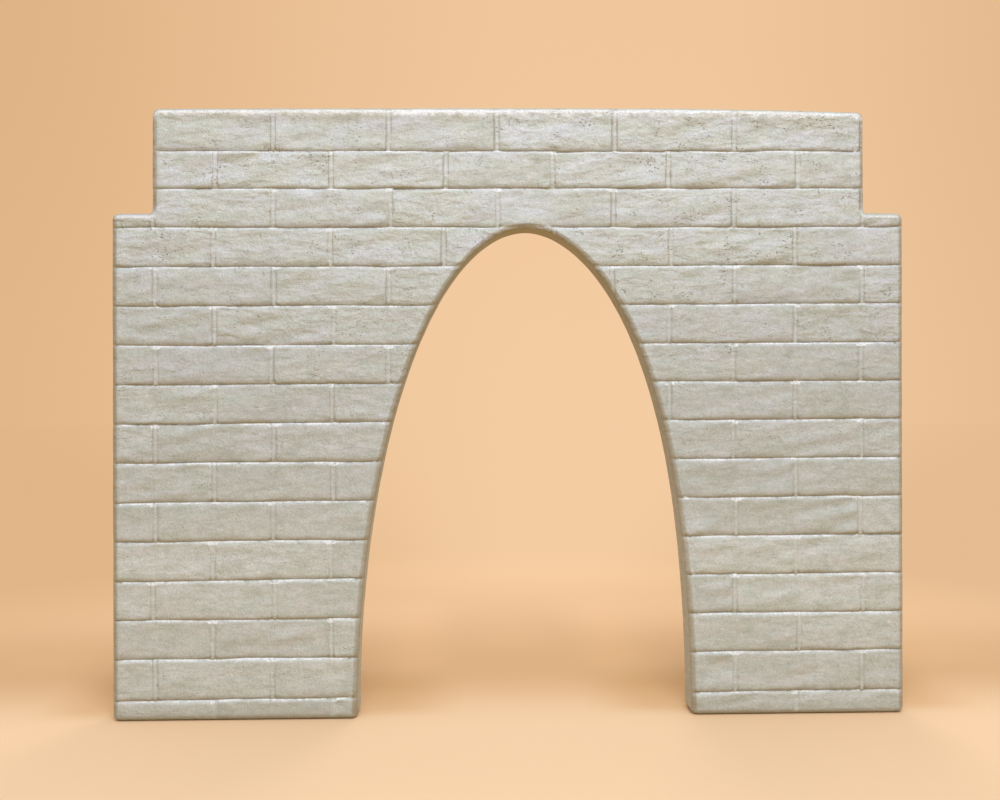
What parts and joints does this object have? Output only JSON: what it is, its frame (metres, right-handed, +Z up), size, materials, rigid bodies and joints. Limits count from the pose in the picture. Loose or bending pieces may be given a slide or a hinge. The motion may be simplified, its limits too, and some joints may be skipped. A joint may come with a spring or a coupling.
{
  "type": "moulded castle wall with archway",
  "caption": "Free-standing moulded castle wall with brick courses, stepped shoulders and a tall arch open to the floor.",
  "frame": {"origin": "on the floor, at the middle of the wall's length and thickness", "axes": "+X along the length, to the right seen from the front; the front face looks to -Y; +Z up"},
  "size_m": [1.5, 0.07, 1.1555],
  "materials": {
    "moulded_stone": "matte, sandy stone-effect coat"
  },
  "bodies": {
    "root": {"arched_wall": "moulded_stone"}
  },
  "joints": []
}
